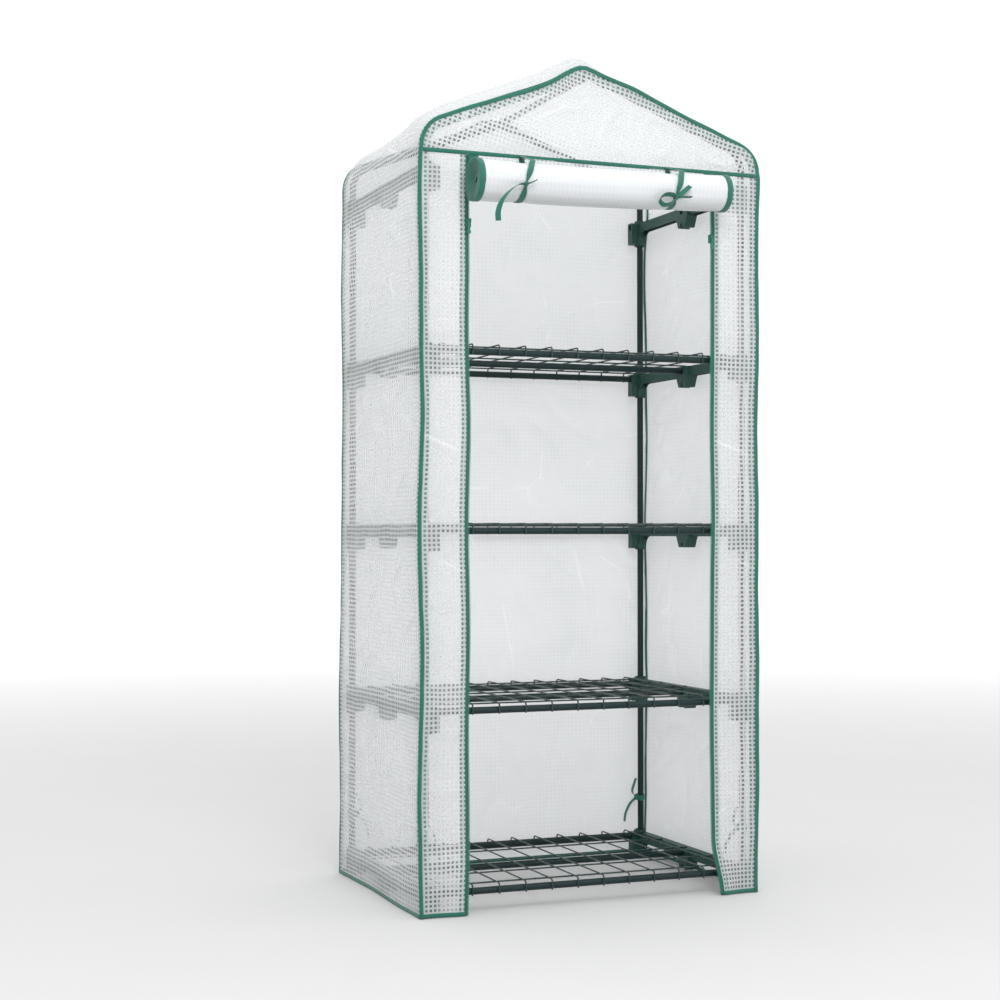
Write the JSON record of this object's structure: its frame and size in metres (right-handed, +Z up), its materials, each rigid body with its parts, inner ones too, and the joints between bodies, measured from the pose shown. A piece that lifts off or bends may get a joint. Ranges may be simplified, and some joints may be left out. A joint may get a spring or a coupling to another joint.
{
  "type": "mini greenhouse",
  "caption": "Tall narrow plant greenhouse: plug-together steel tube frame with wire shelves under a gabled zip-up film cover, its door rolled up and tied.",
  "frame": {"origin": "on the floor, under the middle of the whole object with its rolled door", "axes": "+X to the right, +Y to the back, +Z up; the door faces -Y"},
  "size_m": [0.69, 0.5827, 1.58],
  "materials": {
    "frame_tube": "dark green powder coat",
    "shelf_wire": "dark green plastic-coated wire",
    "moulding": "moulded, fine matt grain",
    "cover_film": "clear film laminated over a white yarn grid",
    "ribbon": "woven edging tape",
    "zip_tape": "woven zip tape with moulded teeth",
    "zip_metal": "painted die casting"
  },
  "bodies": {
    "greenhouse": {"binding_back": "ribbon", "binding_front": "ribbon", "binding_header": "ribbon", "binding_hem": "ribbon", "corner_post_back_left": "frame_tube", "corner_post_back_right": "frame_tube", "corner_post_front_left": "frame_tube", "corner_post_front_right": "frame_tube", "cover_back": "cover_film", "cover_front_gable": "cover_film", "cover_front_left": "cover_film", "cover_front_right": "cover_film", "cover_left": "cover_film", "cover_right": "cover_film", "cover_roof": "cover_film", "cross_tube_back_1": "frame_tube", "cross_tube_back_2": "frame_tube", "cross_tube_back_3": "frame_tube", "cross_tube_back_4": "frame_tube", "cross_tube_front_1": "frame_tube", "cross_tube_front_2": "frame_tube", "cross_tube_front_3": "frame_tube", "cross_tube_front_4": "frame_tube", "cross_tube_middle_1": "frame_tube", "cross_tube_middle_2": "frame_tube", "cross_tube_middle_3": "frame_tube", "cross_tube_middle_4": "frame_tube", "door_hang": "cover_film", "door_tie_left": "ribbon", "door_tie_right": "ribbon", "frame_ties": "ribbon", "ridge_connector_back": "moulding", "ridge_connector_front": "moulding", "ridge_tube": "frame_tube", "roof_bow_back_left": "frame_tube", "roof_bow_back_right": "frame_tube", "roof_bow_front_left": "frame_tube", "roof_bow_front_right": "frame_tube", "side_arm_left_1": "moulding", "side_arm_left_2": "moulding", "side_arm_left_3": "moulding", "side_arm_left_4": "moulding", "side_arm_left_5": "moulding", "side_arm_right_1": "moulding", "side_arm_right_2": "moulding", "side_arm_right_3": "moulding", "side_arm_right_4": "moulding", "side_arm_right_5": "moulding", "zip_tape_left": "zip_tape", "zip_tape_right": "zip_tape"},
    "door_roll": {"door_roll": "cover_film"},
    "zip_slider_left": {"zip_slider_left": "zip_metal"},
    "zip_slider_right": {"zip_slider_right": "zip_metal"},
    "zip_pull_left": {"zip_pull_left": "zip_metal"},
    "zip_pull_right": {"zip_pull_right": "zip_metal"},
    "wire_shelf_1": {"wire_shelf_1": "shelf_wire"},
    "wire_shelf_2": {"wire_shelf_2": "shelf_wire"},
    "wire_shelf_3": {"wire_shelf_3": "shelf_wire"},
    "wire_shelf_4": {"wire_shelf_4": "shelf_wire"}
  },
  "joints": [
    {"name": "door_unroll", "type": "slide", "parent": "greenhouse", "child": "door_roll", "axis": [0, 0, -1], "range_m": [0, 1.28], "deforming": ["door_hang", "door_tie_left", "door_tie_right"]},
    {"name": "zip_left_slide", "type": "slide", "parent": "greenhouse", "child": "zip_slider_left", "axis": [0, 0, -1], "range_m": [0, 1.245]},
    {"name": "zip_pull_left_swing", "type": "hinge", "parent": "zip_slider_left", "child": "zip_pull_left", "pos_m": [-0.2519, -0.20185, 1.273], "axis": [-1, 0, 0], "range_deg": [0, 60]},
    {"name": "zip_right_slide", "type": "slide", "parent": "greenhouse", "child": "zip_slider_right", "axis": [0, 0, -1], "range_m": [0, 1.245]},
    {"name": "zip_pull_right_swing", "type": "hinge", "parent": "zip_slider_right", "child": "zip_pull_right", "pos_m": [0.2519, -0.20185, 1.273], "axis": [-1, 0, 0], "range_deg": [0, 60]},
    {"name": "shelf_1_lift", "type": "slide", "parent": "greenhouse", "child": "wire_shelf_1", "axis": [0, 0, 1], "range_m": [0, 0.04]},
    {"name": "shelf_2_lift", "type": "slide", "parent": "greenhouse", "child": "wire_shelf_2", "axis": [0, 0, 1], "range_m": [0, 0.04]},
    {"name": "shelf_3_lift", "type": "slide", "parent": "greenhouse", "child": "wire_shelf_3", "axis": [0, 0, 1], "range_m": [0, 0.04]},
    {"name": "shelf_4_lift", "type": "slide", "parent": "greenhouse", "child": "wire_shelf_4", "axis": [0, 0, 1], "range_m": [0, 0.04]}
  ],
  "couplings": [
    {"joint": "zip_left_slide", "follows": "door_unroll", "ratio": 0.97},
    {"joint": "zip_right_slide", "follows": "door_unroll", "ratio": 0.97}
  ]
}
